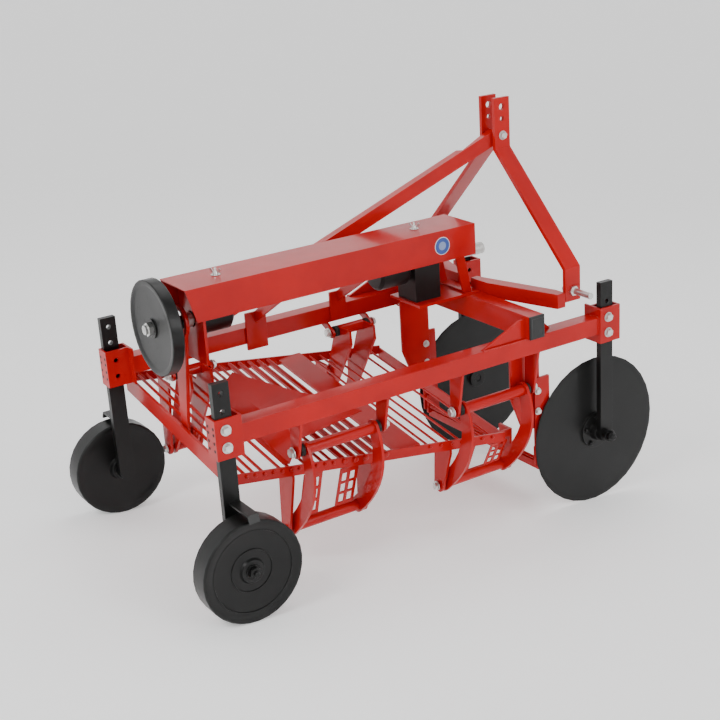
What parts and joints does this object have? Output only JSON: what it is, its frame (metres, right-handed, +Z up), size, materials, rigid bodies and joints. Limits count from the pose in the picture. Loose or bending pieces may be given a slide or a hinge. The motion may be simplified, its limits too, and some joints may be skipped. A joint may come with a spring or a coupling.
{
  "type": "potato digger",
  "caption": "Red tractor-mounted potato digger with a three-point mast, side-shaking rod sieve, share, depth wheels, disc coulters and a flywheel drive under a long cover.",
  "frame": {"origin": "centre of the machine's box on the floor", "axes": "+X to the machine's right, +Y forward to the tractor, +Z up; the frame is parked nose up by about 5 degrees on its depth wheels and coulter discs"},
  "size_m": [0.887, 1.5854, 1.1859],
  "materials": {
    "red_paint": "glossy powder coat",
    "black_paint": "satin",
    "zinc": "zinc plated"
  },
  "bodies": {
    "frame": {"beam_left": "red_paint", "beam_right": "red_paint", "clamp_front_left": "red_paint", "clamp_front_right": "red_paint", "clamp_rear_left": "red_paint", "clamp_rear_right": "red_paint", "coulter_shank_left": "black_paint", "coulter_shank_right": "black_paint", "crossbeam": "red_paint", "drive_carrier": "red_paint", "front_bearing": "black_paint", "hanger_left_front": "red_paint", "hanger_left_rear": "red_paint", "hanger_right_front": "red_paint", "hanger_right_rear": "red_paint", "hitch_arm_left": "red_paint", "hitch_arm_right": "red_paint", "hitch_pin_left": "zinc", "hitch_pin_right": "zinc", "mast_brace": "red_paint", "mast_leg_left": "red_paint", "mast_leg_right": "red_paint", "outrigger_front": "red_paint", "outrigger_rear": "red_paint", "rear_bearing": "black_paint", "shaft_cover": "red_paint", "share_blade": "red_paint", "share_leg_left": "red_paint", "share_leg_right": "red_paint", "share_side_left": "red_paint", "share_side_right": "red_paint", "wheel_shank_left": "black_paint", "wheel_shank_right": "black_paint"},
    "drive_line": {"flywheel": "black_paint", "drive_shaft": "zinc"},
    "wheel_left": {"wheel_left": "black_paint"},
    "wheel_right": {"wheel_right": "black_paint"},
    "coulter_left": {"coulter_left": "black_paint"},
    "coulter_right": {"coulter_right": "black_paint"},
    "arm_right_rear": {"swing_arm_right_rear": "red_paint"},
    "arm_right_front": {"swing_arm_right_front": "red_paint"},
    "arm_left_rear": {"swing_arm_left_rear": "red_paint"},
    "arm_left_front": {"swing_arm_left_front": "red_paint"},
    "sieve": {"sieve_grid": "red_paint", "sieve_ear": "red_paint", "sieve_lug_right_rear": "red_paint", "sieve_lug_right_front": "red_paint", "sieve_lug_left_rear": "red_paint", "sieve_lug_left_front": "red_paint", "deflector": "red_paint"},
    "conrod": {"conrod": "red_paint"}
  },
  "joints": [
    {"name": "drive_turn", "type": "hinge", "parent": "frame", "child": "drive_line", "pos_m": [0, -0.20405, 0.69933], "axis": [0, 0.9964, 0.0847], "continuous": true},
    {"name": "wheel_left_roll", "type": "hinge", "parent": "frame", "child": "wheel_left", "pos_m": [-0.395, -0.6562, 0.1365], "axis": [1, 0, 0], "continuous": true},
    {"name": "wheel_right_roll", "type": "hinge", "parent": "frame", "child": "wheel_right", "pos_m": [0.395, -0.6562, 0.1365], "axis": [1, 0, 0], "continuous": true},
    {"name": "coulter_left_roll", "type": "hinge", "parent": "frame", "child": "coulter_left", "pos_m": [-0.289, 0.5677, 0.225], "axis": [1, 0, 0], "continuous": true},
    {"name": "coulter_right_roll", "type": "hinge", "parent": "frame", "child": "coulter_right", "pos_m": [0.289, 0.5677, 0.225], "axis": [1, 0, 0], "continuous": true},
    {"name": "sieve_sway", "type": "hinge", "parent": "frame", "child": "arm_right_rear", "pos_m": [0.3, -0.33398, 0.38017], "axis": [0, 0.9964, 0.0847], "range_deg": [-3, 3]},
    {"name": "sway_right_front", "type": "hinge", "parent": "frame", "child": "arm_right_front", "pos_m": [0.3, 0.16958, 0.39488], "axis": [0, 0.9964, 0.0847], "range_deg": [-3, 3]},
    {"name": "sway_left_rear", "type": "hinge", "parent": "frame", "child": "arm_left_rear", "pos_m": [-0.27, -0.47483, 0.43143], "axis": [0, 0.9964, 0.0847], "range_deg": [-3, 3]},
    {"name": "sway_left_front", "type": "hinge", "parent": "frame", "child": "arm_left_front", "pos_m": [-0.27, 0.06323, 0.47717], "axis": [0, 0.9964, 0.0847], "range_deg": [-3, 3]},
    {"name": "sieve_level", "type": "hinge", "parent": "arm_right_rear", "child": "sieve", "pos_m": [0.195, -0.31179, 0.11911], "axis": [0, 0.9964, 0.0847], "range_deg": [-3, 3]},
    {"name": "conrod_foot", "type": "hinge", "parent": "sieve", "child": "conrod", "pos_m": [-0.045, -0.60163, 0.32329], "axis": [0, 0.9964, 0.0847], "range_deg": [-2.31, 2.31]}
  ],
  "couplings": [
    {"joint": "sway_right_front", "follows": "sieve_sway", "ratio": 1},
    {"joint": "sway_left_rear", "follows": "sieve_sway", "ratio": 1},
    {"joint": "sway_left_front", "follows": "sieve_sway", "ratio": 1},
    {"joint": "sieve_level", "follows": "sieve_sway", "ratio": -1},
    {"joint": "conrod_foot", "follows": "sieve_sway", "ratio": 0.76833}
  ]
}
